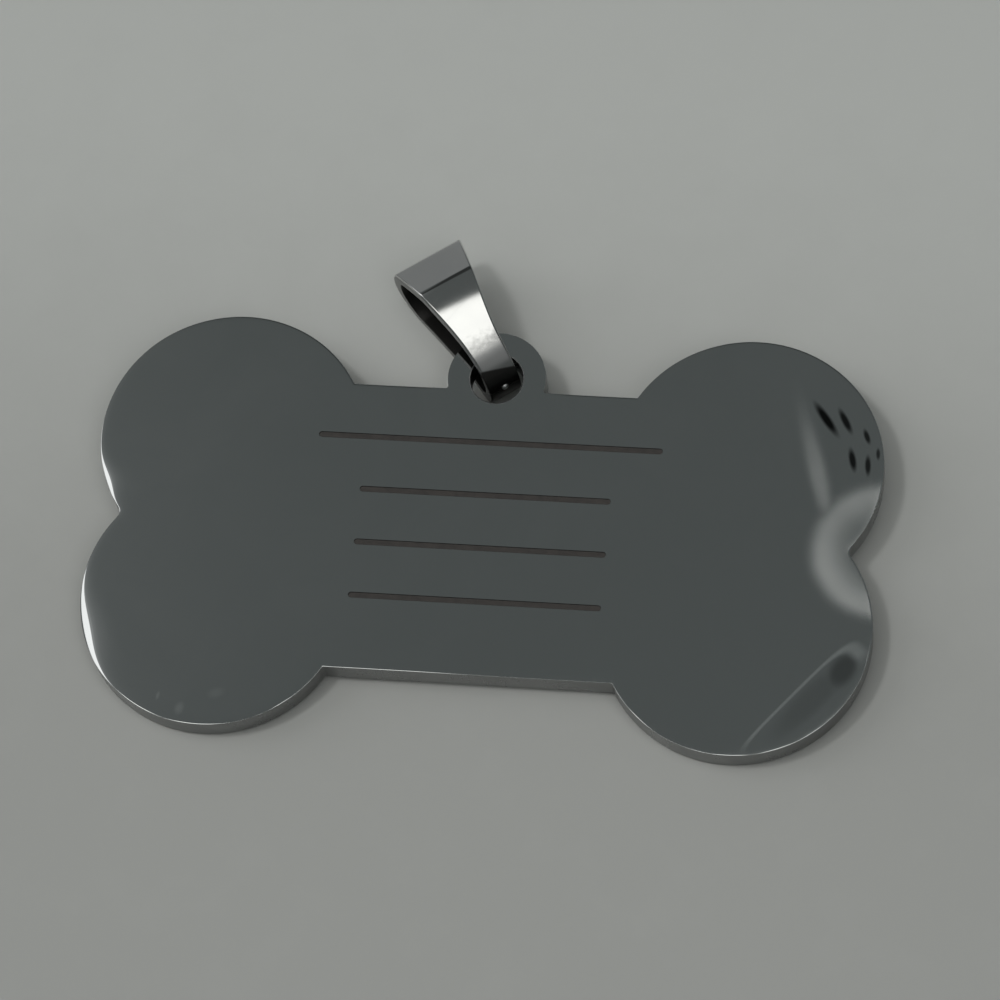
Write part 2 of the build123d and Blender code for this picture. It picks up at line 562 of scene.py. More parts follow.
def bail_path():
    """Middle line of the strap in the loop's own plane, clockwise from the seam and back to it."""
    half = STRAP_THICKNESS / 2
    foot = FOOT_REACH - half
    gap_turn = degrees(SEAM_GAP / 2 / foot)
    slope = 2 * atan2(FRONT_RISE, CROWN_X)
    front_radius = FOOT_REACH + (CROWN_X**2 + FRONT_RISE**2) / (2 * FRONT_RISE)
    heel_y = HEEL_RADIUS - BACK_REACH
    heel_x = -sqrt((FOOT_REACH - HEEL_RADIUS) ** 2 - heel_y**2)
    heel_turn = degrees(atan2(heel_y, heel_x)) % 360
    seam = 180 - SEAM_ANGLE

    def bend(centre, radius, start, end, count):
        turns = np.radians(np.linspace(start, end, count + 1))
        return [(centre[0] + radius * cos(t), centre[1] + radius * sin(t)) for t in turns]

    front_turn = 90 + degrees(slope)
    front_middle = (CROWN_X, FRONT_REACH - front_radius)
    crown_middle = (CROWN_X, FRONT_REACH - CROWN_RADIUS)
    path = bend((0, 0), foot, seam - gap_turn, front_turn, FOOT_STEPS)
    path += bend(front_middle, front_radius - half, front_turn, 90, FRONT_STEPS)[1:]
    path += bend(crown_middle, CROWN_RADIUS - half, 90, -90, CROWN_STEPS)[1:]
    back_places = np.linspace(CROWN_X, heel_x, BACK_STEPS + 1)[1:]
    path += [(x, half - BACK_REACH) for x in back_places]
    path += bend((heel_x, heel_y), HEEL_RADIUS - half, 270, heel_turn, HEEL_STEPS)[1:]
    path += bend((0, 0), foot, heel_turn, seam + gap_turn, END_STEPS)[1:]
    return path


def strap_tree(values):
    """Sweeps a rounded strap along a path, tapers it, adds the seam's bead and stands it in its place."""
    tree, given, end = new_shape_tree("folded_strap", values, True)
    path = made(tree, "GeometryNodeMeshToCurve", Mesh=given["Geometry"])
    path = made(tree, "GeometryNodeSetCurveNormal", {"mode": "Z_UP"}, Curve=path)
    wide = times(tree, given["Throat Half"], 2.0)
    section = made(
        tree, "GeometryNodeCurvePrimitiveQuadrilateral", {"mode": "RECTANGLE"},
        Width=given["Strap Thickness"], Height=wide,
    )
    place = made(tree, "GeometryNodeInputPosition")
    x, y, z = add_node(tree, "ShaderNodeSeparateXYZ", Vector=place).outputs
    outside = sum_up(tree, "LESS_THAN", x, 0.0)
    radius = made(
        tree, "ShaderNodeMix", {"data_type": "FLOAT"}, i0=outside, i2=given["Inner Break"],
        i3=given["Shoulder Radius"],
    )
    section = made(
        tree, "GeometryNodeFilletCurve", {"mode": "POLY"}, Curve=section, Count=7, Radius=radius,
        Limit_Radius=True,
    )
    half = times(tree, given["Strap Thickness"], 0.5)
    nearly_half = times(tree, half, 0.9)
    nearly_side = times(tree, given["Throat Half"], 0.99)
    inside = sum_up(tree, "GREATER_THAN", x, nearly_half)
    on_side = sum_up(tree, "GREATER_THAN", sum_up(tree, "ABSOLUTE", y), nearly_side)
    depth = sum_up(tree, "ADD", x, half)
    held = held_on(tree, section, Inside=inside, Side=on_side, Depth=depth)
    strap = made(
        tree, "GeometryNodeCurveToMesh", Curve=path, Profile_Curve=held["Geometry"], Fill_Caps=True,
    )
    side = sum_up(tree, "SIGN", z)
    widen = times(tree, x, given["Taper"])
    widen = sum_up(tree, "SMOOTH_MAX", widen, 0.0, given["Side Blend"])
    widen = times(tree, widen, side)
    shift = made(tree, "ShaderNodeCombineXYZ", Z=widen)
    strap = made(tree, "GeometryNodeSetPosition", Geometry=strap, Offset=shift)
    press_x, press_y, _ = add_node(tree, "ShaderNodeSeparateXYZ", Vector=given["Crown Press"]).outputs
    away = sum_up(tree, "SUBTRACT", x, press_x)
    press_radius = sum_up(tree, "SUBTRACT", given["Crown Press Radius"], held["Depth"])
    squared = times(tree, press_radius, press_radius)
    squared = sum_up(tree, "SUBTRACT", squared, times(tree, away, away))
    pressed = sum_up(tree, "ADD", sum_up(tree, "SQRT", squared), press_y)
    pressed = sum_up(tree, "SMOOTH_MIN", y, pressed, given["Crease Blend"])
    flat = made(tree, "ShaderNodeCombineXYZ", X=x, Y=pressed, Z=z)
    strap = made(tree, "GeometryNodeSetPosition", Geometry=strap, Position=flat)
    in_hole = sum_up(tree, "LESS_THAN", x, given["Throat Start"])
    throat = held_on(tree, strap, Throat=in_hole)
    bead = made(tree, "GeometryNodeMeshIcoSphere", Radius=given["Bead Radius"], Subdivisions=4)
    lumps = made(tree, "ShaderNodeTexNoise", Scale=2600.0, Detail=1.0)
    lumps = times(tree, sum_up(tree, "SUBTRACT", lumps, 1.0), given["Bead Unevenness"])
    normal = made(tree, "GeometryNodeInputNormal")
    shift = made(tree, "ShaderNodeVectorMath", {"operation": "SCALE"}, Vector=normal, Scale=lumps)
    bead = made(tree, "GeometryNodeSetPosition", Geometry=bead, Offset=shift)
    bead = made(tree, "GeometryNodeTransform", Geometry=bead, Translation=given["Bead Place"])
    welded = held_on(tree, bead, Bead=1.0)
    both = joined(tree, throat["Geometry"], welded["Geometry"])
    stood = made(
        tree, "GeometryNodeTransform", Geometry=both, Translation=given["Axis Point"],
        Rotation=given["Turn"],
    )
    soft = made(tree, "GeometryNodeSetShadeSmooth", Geometry=stood)
    plain = made(tree, "GeometryNodeRealizeInstances", Geometry=soft)
    coated = made(tree, "GeometryNodeSetMaterial", Geometry=plain, Material=given["Steel"])
    # Inner faces and the part in the hole get the near-black steel that is painted shade
    inner = sum_up(tree, "MAXIMUM", held["Inside"], throat["Throat"])
    coats = ((held["Side"], "Side Steel"), (inner, "Strap Shade Steel"), (welded["Bead"], "Bead Steel"))
    for share, steel in coats:
        chosen = sum_up(tree, "GREATER_THAN", share, 0.9)
        coated = made(
            tree, "GeometryNodeSetMaterial", Geometry=coated, Selection=chosen, Material=given[steel],
        )
    tree.links.new(coated, end)
    return tree


def strap_bail(steel, side_steel, strap_shade_steel, bead_steel):
    path = bail_path()
    line = bpy.data.meshes.new("strap_path")
    line.from_pydata([(x * MM, y * MM, 0) for x, y in path], [(i, i + 1) for i in range(len(path) - 1)], [])
    piece = new_piece("strap_bail", line)
    seam = radians(180 - SEAM_ANGLE)
    bead_reach = FOOT_REACH - BEAD_RADIUS / 2
    values = {
        "Strap Thickness": STRAP_THICKNESS * MM,
        "Throat Half": THROAT_HALF * MM,
        "Taper": TAPER,
        "Side Blend": SIDE_BLEND * MM,
        "Crown Press": (PRESS_X * MM, PRESS_Y * MM, 0.0),
        "Crown Press Radius": PRESS_RADIUS * MM,
        "Crease Blend": CREASE_BLEND * MM,
        "Throat Start": THROAT_START * MM,
        "Shoulder Radius": SHOULDER_RADIUS * MM,
        "Inner Break": INNER_BREAK * MM,
        "Bead Radius": BEAD_RADIUS * MM,
        "Bead Place": (bead_reach * cos(seam) * MM, bead_reach * sin(seam) * MM, 0.0),
        "Bead Unevenness": BEAD_UNEVENNESS * MM,
        "Axis Point": tuple(AXIS_POINT * MM),
        "Turn": (pi / 2, 0.0, radians(BAIL_TURN + 90)),
        "Steel": steel,
        "Side Steel": side_steel,
        "Strap Shade Steel": strap_shade_steel,
        "Bead Steel": bead_steel,
    }
    shaped_by(piece, strap_tree(values), values)
    shape = bmesh.new()
    shape.from_mesh(piece.data)
    bmesh.ops.recalc_face_normals(shape, faces=shape.faces)
    shape.to_mesh(piece.data)
    shape.free()
    shading = piece.modifiers.new("even_shading", "WEIGHTED_NORMAL")
    shading.keep_sharp = True
    shading.weight = 100
    return settled(piece)


# Etched rules: a dark film on the floor of each slot, a little narrower than the slot
FILM_GAP = 0.06
FILM_THICKNESS = 0.03
FILM_LIFT = 0.005


def rule_tree(values):
    """A row of rounded films, the first longer than the rest."""
    tree, given, end = new_shape_tree("etched_rows", values, False)
    rows = made(
        tree, "GeometryNodeMeshLine", {"mode": "OFFSET"}, Count=given["Rows"],
        Start_Location=given["First Place"], Offset=given["Step"],
    )
    bar = made(
        tree, "GeometryNodeCurvePrimitiveQuadrilateral", {"mode": "RECTANGLE"}, Width=1.0,
        Height=given["Width"],
    )
    row = made(tree, "GeometryNodeInputIndex")
    later = sum_up(tree, "GREATER_THAN", row, 0.5)
    length = made(
        tree, "ShaderNodeMix", {"data_type": "FLOAT"}, i0=later, i2=given["First Length"],
        i3=given["Length"],
    )
    stretch = made(tree, "ShaderNodeCombineXYZ", X=length, Y=1.0, Z=1.0)
    bars = made(tree, "GeometryNodeInstanceOnPoints", Points=rows, Instance=bar, Scale=stretch)
    bars = made(tree, "GeometryNodeRealizeInstances", Geometry=bars)
    radius = times(tree, given["Width"], 0.499)
    bars = made(
        tree, "GeometryNodeFilletCurve", {"mode": "POLY"}, Curve=bars, Count=8, Radius=radius,
        Limit_Radius=True,
    )
    film = made(tree, "GeometryNodeFillCurve", {"mode": "NGONS"}, Curve=bars)
    raised = made(
        tree, "GeometryNodeExtrudeMesh", {"mode": "FACES"}, Mesh=film, Offset_Scale=given["Film"],
        Individual=False,
    )
    under = made(tree, "GeometryNodeFlipFaces", Mesh=film)
    both = joined(tree, raised, under)
    whole = made(tree, "GeometryNodeMergeByDistance", Geometry=both, Distance=1e-7)
    lifted = made(tree, "GeometryNodeSetPosition", Geometry=whole, Offset=given["Height"])
    plain = made(tree, "GeometryNodeRealizeInstances", Geometry=lifted)
    coated = made(tree, "GeometryNodeSetMaterial", Geometry=plain, Material=given["Etch"])
    tree.links.new(coated, end)
    return tree


def etched_rules(etch):
    piece = new_piece("etched_rules", bpy.data.meshes.new("rule_start"))
    first_length, length = RULE_LENGTHS[:2]
    _, first_y = rule_rows()[0]
    values = {
        "Rows": len(RULE_LENGTHS),
        "First Length": (first_length - FILM_GAP) * MM,
        "Length": (length - FILM_GAP) * MM,
        "Width": (RULE_WIDTH - FILM_GAP) * MM,
        "Film": FILM_THICKNESS * MM,
        "First Place": (0.0, first_y * MM, 0.0),
        "Step": (0.0, -RULE_PITCH * MM, 0.0),
        "Height": (0.0, 0.0, (PLATE_THICKNESS - RULE_DEPTH + FILM_LIFT) * MM),
        "Etch": etch,
    }
    return shaped_by(piece, rule_tree(values), values)


# Finishes
def new_effect(name, sizes, results):
    """An empty shader group with named inputs, given with their first values, and named results."""
    group = bpy.data.node_groups.new(name, "ShaderNodeTree")
    for size, value in sizes.items():
        new_input(group, size, value).default_value = value
    for result in results:
        group.interface.new_socket(result, in_out="OUTPUT", socket_type="NodeSocketFloat")
    return group, group.nodes.new("NodeGroupInput").outputs, group.nodes.new("NodeGroupOutput").inputs


def place_on_piece(tree):
    return add_node(tree, "ShaderNodeTexCoord").outputs["Object"]


# Hairline layers: the turn of each, and its fineness across and along the lines
HAIRLINES = ((0.0, 9000.0, 160.0), (1.15, 7000.0, 120.0), (-0.7, 11000.0, 200.0))


def hairline_effect():
    """Fine handling scratches in three directions, as thin lines that come and go."""
    group, given, result = new_effect(
        "handling_scratches", {"Fineness": 1.0, "Lean": 0.0, "Amount": 0.5}, ("Lines",),
    )
    place = place_on_piece(group)
    layers = []
    for lean, across, along in HAIRLINES:
        turn = made(group, "ShaderNodeCombineXYZ", Z=sum_up(group, "ADD", given["Lean"], lean))
        fine = times(group, given["Fineness"], across)
        size = made(group, "ShaderNodeCombineXYZ", X=fine, Y=along, Z=along)
        turned = made(group, "ShaderNodeMapping", {"vector_type": "POINT"}, Vector=place, Rotation=turn)
        laid = made(group, "ShaderNodeVectorMath", {"operation": "MULTIPLY"}, i0=turned, i1=size)
        grain = made(group, "ShaderNodeTexNoise", Vector=laid, Scale=1.0, Detail=1.0)
        layers.append(made(group, "ShaderNodeMapRange", Value=grain, From_Min=0.68, From_Max=0.78))
    lines = sum_up(group, "MAXIMUM", sum_up(group, "MAXIMUM", layers[0], layers[1]), layers[2])
    patches = made(group, "ShaderNodeTexNoise", Vector=place, Scale=190.0, Detail=2.0)
    patches = made(group, "ShaderNodeMapRange", Value=patches, From_Min=0.35, From_Max=0.65)
    lines = times(group, times(group, lines, patches), given["Amount"])
    group.links.new(lines, result["Lines"])
    return group


def haze_effect():
    """Soft cloudy marks left by fingers and wiping."""
    group, given, result = new_effect("wiped_haze", {"Size": 140.0, "Contrast": 0.5}, ("Haze",))
    place = place_on_piece(group)
    cloud = made(
        group, "ShaderNodeTexNoise", Vector=place, Scale=given["Size"], Detail=5.0, Roughness=0.62,
        Distortion=0.6,
    )
    half = times(group, given["Contrast"], 0.5)
    low, high = sum_up(group, "SUBTRACT", 0.5, half), sum_up(group, "ADD", 0.5, half)
    group.links.new(soft_step(group, cloud, low, high), result["Haze"])
    return group


def ripple_effect():
    """Slow unevenness left by the buffing wheel, as a height from 0 to 1."""
    group, given, result = new_effect("buffed_ripple", {"Size": 120.0}, ("Height",))
    place = place_on_piece(group)
    ripple = made(group, "ShaderNodeTexNoise", Vector=place, Scale=given["Size"], Detail=1.0, Roughness=0.4)
    group.links.new(ripple, result["Height"])
    return group


# Colours of the painted reflections and sheen, of the pale scuffs and of the painted shade on the strap, and
# the roughness that these and the scratches add
PAINTED_DARK_REFLECTION_COLOUR = (0.03, 0.031, 0.03)
PALE_COLOUR = (0.95, 0.95, 0.94)
PAINTED_SHEEN_COLOUR = (0.66, 0.67, 0.665)
STRAP_SHADE_COLOUR = (0.38, 0.38, 0.375)
THROAT_SHADE_COLOUR = (0.05, 0.048, 0.046)
PAINTED_SHEEN_ROUGHNESS = 0.15
STRAP_SHADE_ROUGHNESS = 0.2
THROAT_SHADE_ROUGHNESS = 0.3
SCRATCH_ROUGHNESS = 0.22

# Painted dark reflections on the right of the face: middle, half length, half width and lean in degrees of
# each, with how dark it is
DARK_MARKS = (
    (21.14, 8.85, 1.75, 0.37, -54.0, 1.0),
    (22.36, 8.78, 1.20, 0.30, -61.5, 0.95),
    (23.78, 7.80, 0.70, 0.23, -69.0, 0.9),
    (24.56, 6.65, 0.52, 0.17, -86.0, 0.8),
    (22.98, 6.16, 1.05, 0.30, -77.0, 0.95),
    (23.97, 5.83, 0.90, 0.25, -86.0, 0.9),
    (23.33, -7.90, 1.75, 1.05, 62.0, 0.5),
    (21.50, -10.00, 4.40, 1.05, 50.0, 0.2),
)

# Pale outline of the lowest dark mark, a painted reflection, given like the marks
PALE_STREAK = (20.97, -10.63, 5.1, 1.05, 50.5)

# Pale scuffs low on the left lobe, given like the dark marks
PALE_MARKS = (
    (-17.80, -12.95, 0.60, 0.40, 75.0, 0.45),
    (-19.25, -12.20, 0.40, 0.16, 80.0, 0.5),
    (-15.60, -11.80, 0.75, 0.45, 20.0, 0.25),
)

# Painted sheen by the right notch, lighter and rougher: a ring round the notch, and a fainter line that
# leads up from it
PAINTED_SHEEN_RING = (25.3, 0.1, 4.05, 4.05, 0.0)
PAINTED_SHEEN_LINE = (20.72, 5.6, 7.2, 1.0, 106.5)


# Soft edges of the marks, where 1 is a mark's own outline: of the spots, the scuffs, the streak's line,
# the side and the end where the streak fades, and the ring, whose middle is fainter
SPOT_EDGE = (0.35, 1.0)
SCUFF_EDGE = (0.2, 1.0)
STREAK_EDGE = (0.02, 0.15)
STREAK_SIDE = (-0.9, 0.0)
STREAK_END = (-1.0, -0.6)
RING_INNER = (0.4, 0.95)
RING_OUTER = (0.95, 1.3)
RING_MIDDLE = 0.4


def mark_effect():
    """Painted dark reflections, a pale streak of painted reflection, pale scuffs, and painted sheen by the
    notch.
    """
    group, given, result = new_effect("painted_reflections_and_scuffs", {"Line Strength": 0.8}, ("Dark", "Pale", "Painted Sheen"))
    place = place_on_piece(group)

    def laid_on(x, y, half_length, half_width, lean):
        """Place on an ellipse, with 1 on its edge."""
        return made(
            group, "ShaderNodeMapping", {"vector_type": "TEXTURE"}, Vector=place,
            Location=(x * MM, y * MM, 0), Rotation=(0, 0, radians(lean)),
            Scale=(half_length * MM, half_width * MM, 1.0),
        )

    def reach(laid):
        return add_node(group, "ShaderNodeVectorMath", {"operation": "LENGTH"}, i0=laid).outputs["Value"]

    dark = 0.0
    for *ellipse, depth in DARK_MARKS:
        spot = soft_step(group, reach(laid_on(*ellipse)), *SPOT_EDGE, depth, 0.0)
        dark = sum_up(group, "MAXIMUM", dark, spot)
    group.links.new(dark, result["Dark"])

    x, y, _ = add_node(group, "ShaderNodeSeparateXYZ", Vector=laid_on(*PALE_STREAK)).outputs
    fourth = [sum_up(group, "POWER", sum_up(group, "ABSOLUTE", side), 4.0) for side in (x, y)]
    size = sum_up(group, "POWER", sum_up(group, "ADD", *fourth), 0.25)
    from_edge = sum_up(group, "ABSOLUTE", sum_up(group, "SUBTRACT", size, 1.0))
    pale = soft_step(group, from_edge, *STREAK_EDGE, 1.0, 0.0)
    pale = times(group, pale, soft_step(group, y, *STREAK_SIDE))
    pale = times(group, pale, soft_step(group, x, *STREAK_END))
    for *ellipse, strength in PALE_MARKS:
        scuff = soft_step(group, reach(laid_on(*ellipse)), *SCUFF_EDGE, strength, 0.0)
        pale = sum_up(group, "MAXIMUM", pale, scuff)
    group.links.new(pale, result["Pale"])

    # Painted sheen: the ring and the line are lighter and rougher than the face
    size = reach(laid_on(*PAINTED_SHEEN_RING))
    outer = soft_step(group, size, *RING_OUTER, 1.0, 0.0)
    ring = times(group, outer, soft_step(group, size, *RING_INNER, RING_MIDDLE, 1.0))
    line = soft_step(group, reach(laid_on(*PAINTED_SHEEN_LINE)), *SCUFF_EDGE, 1.0, 0.0)
    line = times(group, line, given["Line Strength"])
    group.links.new(sum_up(group, "MAXIMUM", ring, line), result["Painted Sheen"])
    return group


def strap_shade_effect():
    """Mottled painted shade on the strap that grows towards the hole, and darker painted shade in the hole,
    which starts at a slanted line. Both are measured from the swing axis."""
    sizes = {
        "Clean": 0.75 * MM,
        "Full": -0.7 * MM,
        "Mottle": 1.3 * MM,
        "Throat Shade Start": -1.95 * MM,
        "Throat Shade Slant": 0.23,
        "Throat Shade Edge": 0.06 * MM,
    }
    group, given, result = new_effect("painted_throat_shade", sizes, ("Strap Shade", "Throat Shade"))
    place = place_on_piece(group)
    from_axis = made(group, "ShaderNodeVectorMath", {"operation": "SUBTRACT"}, i0=place, i1=AXIS_POINT * MM)
    along, across = dot(group, from_axis, ALONG), dot(group, from_axis, ACROSS)
    slanted = sum_up(group, "MULTIPLY_ADD", across, given["Throat Shade Slant"], along)
    low = sum_up(group, "SUBTRACT", given["Throat Shade Start"], given["Throat Shade Edge"])
    high = sum_up(group, "ADD", given["Throat Shade Start"], given["Throat Shade Edge"])
    group.links.new(soft_step(group, slanted, low, high, 1.0, 0.0), result["Throat Shade"])
    mottle = made(group, "ShaderNodeTexNoise", Vector=place, Scale=3200.0, Detail=2.0)
    mottle = times(group, sum_up(group, "SUBTRACT", mottle, 0.5), given["Mottle"])
    along = sum_up(group, "ADD", along, mottle)
    group.links.new(soft_step(group, along, given["Full"], given["Clean"], 1.0, 0.0), result["Strap Shade"])
    return group


scratches, haze, ripple, marks = hairline_effect(), haze_effect(), ripple_effect(), mark_effect()
strap_shade = strap_shade_effect()


def place_effect(tree, group, **values):
    """Places a shared group in a tree with its own values, and gives its results."""
    return add_node(tree, "ShaderNodeGroup", {"node_tree": group}, **values).outputs


def mixed_colour(tree, share, first, second):
    """Colour that changes to a second one by a share. The first may vary over the surface too."""
    first = (*first, 1.0) if isinstance(first, tuple) else first
    return add_node(
        tree, "ShaderNodeMix", {"data_type": "RGBA"}, i0=share, i6=first, i7=(*second, 1.0),
    ).outputs[2]


def mixed_value(tree, share, low, high):
    return made(tree, "ShaderNodeMapRange", Value=share, To_Min=low, To_Max=high)


def new_finish(name):
    finish = bpy.data.materials.new(name)
    finish.use_nodes = True
    tree = finish.node_tree
    return finish, tree, tree.nodes["Principled BSDF"]


def plate_reflections_and_scuffs(tree, colour, rough):
    """Painted dark reflections, pale streak and sheen, and pale scuffs, on the plate's face."""
    reflections_and_scuffs = place_effect(tree, marks)
    # The dark spots and the pale streak are painted reflections; the pale scuffs are the plate's own marks
    colour = mixed_colour(tree, reflections_and_scuffs["Dark"], colour, PAINTED_DARK_REFLECTION_COLOUR)
    colour = mixed_colour(tree, reflections_and_scuffs["Pale"], colour, PALE_COLOUR)
    colour = mixed_colour(tree, reflections_and_scuffs["Painted Sheen"], colour, PAINTED_SHEEN_COLOUR)
    return colour, sum_up(tree, "MULTIPLY_ADD", reflections_and_scuffs["Painted Sheen"], PAINTED_SHEEN_ROUGHNESS, rough)


def strap_painted_shade(tree, colour, rough):
    """Painted shade on the strap near the hole, and darker painted shade in it."""
    shade_masks = place_effect(tree, strap_shade)
    # Painted shade: the strap is darker towards the hole and darkest in it
    colour = mixed_colour(tree, shade_masks["Strap Shade"], colour, STRAP_SHADE_COLOUR)
    colour = mixed_colour(tree, shade_masks["Throat Shade"], colour, THROAT_SHADE_COLOUR)
    rough = sum_up(tree, "MULTIPLY_ADD", shade_masks["Strap Shade"], STRAP_SHADE_ROUGHNESS, rough)
    return colour, sum_up(tree, "MULTIPLY_ADD", shade_masks["Throat Shade"], THROAT_SHADE_ROUGHNESS, rough)


def polished_steel(
    name, bright, dull, smooth, hazy, scratch_amount, lean=0.0, ripple_size=700.0, ripple_height=0.000001,
    marks_and_painted_light=None,
):
    """Stainless steel: hazy patches between two colours and two roughnesses, hairlines that scatter light,
    a slow ripple, and its marks and painted light if any."""
    finish, tree, surface = new_finish(name)
    cloud = place_effect(tree, haze, Size=150.0, Contrast=0.5)["Haze"]
    lines = place_effect(tree, scratches, Fineness=1.0, Lean=lean, Amount=scratch_amount)["Lines"]
    height = place_effect(tree, ripple, Size=ripple_size)["Height"]
    colour = mixed_colour(tree, cloud, bright, dull)
    rough = mixed_value(tree, cloud, smooth, hazy)
    rough = sum_up(tree, "MULTIPLY_ADD", lines, SCRATCH_ROUGHNESS, rough)
    if marks_and_painted_light:
        colour, rough = marks_and_painted_light(tree, colour, rough)
    tree.links.new(colour, surface.inputs["Base Color"])
    tree.links.new(rough, surface.inputs["Roughness"])
    slow = made(tree, "ShaderNodeBump", Strength=1.0, Distance=ripple_height, Height=height)
    fine = made(
        tree, "ShaderNodeBump", {"invert": True}, Strength=0.25, Distance=0.000002, Height=lines,
        Normal=slow,
    )
    tree.links.new(fine, surface.inputs["Normal"])
    surface.inputs["Metallic"].default_value = 1.0
    return finish


# Colours of the oxide in the slots
OXIDE_DARK = (0.040, 0.036, 0.034)
OXIDE_PALE = (0.085, 0.076, 0.070)


def etched_finish():
    """Dark oxide left in the slots, brown-grey and mottled."""
    finish, tree, surface = new_finish("etched_oxide")
    cloud = place_effect(tree, haze, Size=1400.0, Contrast=0.6)["Haze"]
    grain = place_effect(tree, scratches, Fineness=0.9, Lean=1.57, Amount=1.0)["Lines"]
    tone = sum_up(tree, "MULTIPLY_ADD", cloud, 0.75, times(tree, grain, 0.25))
    tree.links.new(mixed_colour(tree, tone, OXIDE_DARK, OXIDE_PALE), surface.inputs["Base Color"])
    tree.links.new(mixed_value(tree, cloud, 0.45, 0.7), surface.inputs["Roughness"])
    bump = made(tree, "ShaderNodeBump", Strength=0.6, Distance=0.00001, Height=cloud)
    tree.links.new(bump, surface.inputs["Normal"])
    surface.inputs["Metallic"].default_value = 0.3
    return finish


# Table colours at the near and far side, the far one lighter as painted light, and the places in metres
# between which they blend
TABLE_NEAR_COLOUR = (0.43, 0.435, 0.418)
TABLE_FAR_COLOUR = (0.565, 0.578, 0.556)
TABLE_BLEND = (-0.014, 0.036)


def floor_finish():
    """Pale painted table top, with painted light that makes it a little lighter at the far side, and faint
    mottling.
    """
    finish, tree, surface = new_finish("pale_table")
    place = place_on_piece(tree)
    far = add_node(tree, "ShaderNodeSeparateXYZ", Vector=place).outputs["Y"]
    far = soft_step(tree, far, *TABLE_BLEND)
    cloud = made(tree, "ShaderNodeTexNoise", Vector=place, Scale=260.0, Detail=4.0, Roughness=0.6)
    tone = sum_up(tree, "MULTIPLY_ADD", sum_up(tree, "SUBTRACT", cloud, 0.5), 0.25, far)
    colour = mixed_colour(tree, tone, TABLE_NEAR_COLOUR, TABLE_FAR_COLOUR)
    tree.links.new(colour, surface.inputs["Base Color"])
    surface.inputs["Roughness"].default_value = 0.6
    surface.inputs["Specular IOR Level"].default_value = 0.2
    return finish


plate_steel = polished_steel(
    "buffed_plate_steel", bright=(0.60, 0.61, 0.605), dull=(0.56, 0.575, 0.57), smooth=0.04, hazy=0.08,
    scratch_amount=0.1, lean=0.35, ripple_size=90.0, ripple_height=0.0000012, marks_and_painted_light=plate_reflections_and_scuffs,
)
# Walls and hole of the plate: rougher sheared steel, its colour darkened as painted shade
edge_steel = polished_steel(
    "sheared_shaded_edge_steel", bright=(0.28, 0.285, 0.285), dull=(0.235, 0.24, 0.24), smooth=0.22, hazy=0.36,
    scratch_amount=0.3, ripple_size=400.0, ripple_height=0.000002,
)
bail_lean = radians(BAIL_TURN)
bail_steel = polished_steel(
    "tumbled_bail_steel", bright=(0.62, 0.62, 0.61), dull=(0.57, 0.57, 0.565), smooth=0.05, hazy=0.09,
    scratch_amount=0.2, lean=bail_lean, ripple_size=2500.0, ripple_height=0.0000006, marks_and_painted_light=strap_painted_shade,
)
# Sides of the strap: rougher sheared steel, its colour darkened as painted shade
side_steel = polished_steel(
    "sheared_shaded_strap_steel", bright=(0.24, 0.24, 0.24), dull=(0.17, 0.17, 0.168), smooth=0.2, hazy=0.34,
    scratch_amount=0.4, lean=bail_lean,
)
# Near-black steel for the strap's inner faces and the part in the hole: painted shade
strap_shade_steel = polished_steel(
    "painted_shade_strap_steel", bright=(0.06, 0.058, 0.056), dull=(0.035, 0.034, 0.033), smooth=0.32,
    hazy=0.5, scratch_amount=0.4, lean=bail_lean,
)
# The weld bead's steel is lighter than the strap's: a painted highlight that makes the bead read as a bright
# dot
bead_steel = polished_steel(
    "highlighted_weld_bead_steel", bright=(0.85, 0.85, 0.84), dull=(0.75, 0.75, 0.74), smooth=0.3, hazy=0.42,
    scratch_amount=0.2,
)
etched_oxide = etched_finish()

# Pieces of the tag
plate = new_piece("polished_plate", plate_mesh())
plate.data.materials.append(plate_steel)
plate.data.materials.append(edge_steel)
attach(plate, "plate")
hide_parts("tag_plate")

rules = etched_rules(etched_oxide)
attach(rules, "plate")

bail = strap_bail(bail_steel, side_steel, strap_shade_steel, bead_steel)
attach(bail, "bail")
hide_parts("bail")

# Table top, which carries the lower lobes and the bail's heel. The heel touches it on the hole's side of the
# swing axis
FLOOR_HALF = 1.2
FLOOR_NEAR_Y = -(LOBE_Y + LOBE_RADIUS - PLATE_EDGE_RADIUS)
HEEL_BACK = 1.3
HEEL_CLEARANCE = 0.01
HEEL_REST = AXIS_POINT - ALONG * HEEL_BACK
FLOOR_FALL = (BACK_REACH - PLATE_THICKNESS / 2 + HEEL_CLEARANCE) / (HEEL_REST.y - FLOOR_NEAR_Y)


def table_top():
    corners = []
    for y in (-FLOOR_HALF, FLOOR_HALF):
        height = -(y - FLOOR_NEAR_Y * MM) * FLOOR_FALL
        corners += [(x, y, height) for x in (-FLOOR_HALF, FLOOR_HALF)]
    mesh = bpy.data.meshes.new("table_top")
    mesh.from_pydata(corners, [], [(0, 1, 3, 2)])
    mesh.materials.append(floor_finish())
    new_piece("table_top", mesh)


table_top()

# Studio light: a dim room with soft panels round the tag. The room has one colour below the horizon and
# one above it, and no direction is darker than the last of these values
ROOM = ((0.26, 0.265, 0.26), (0.106, 0.117, 0.116))
HORIZON_BLEND = 0.02
DARKEST = (0.012, 0.012, 0.012)

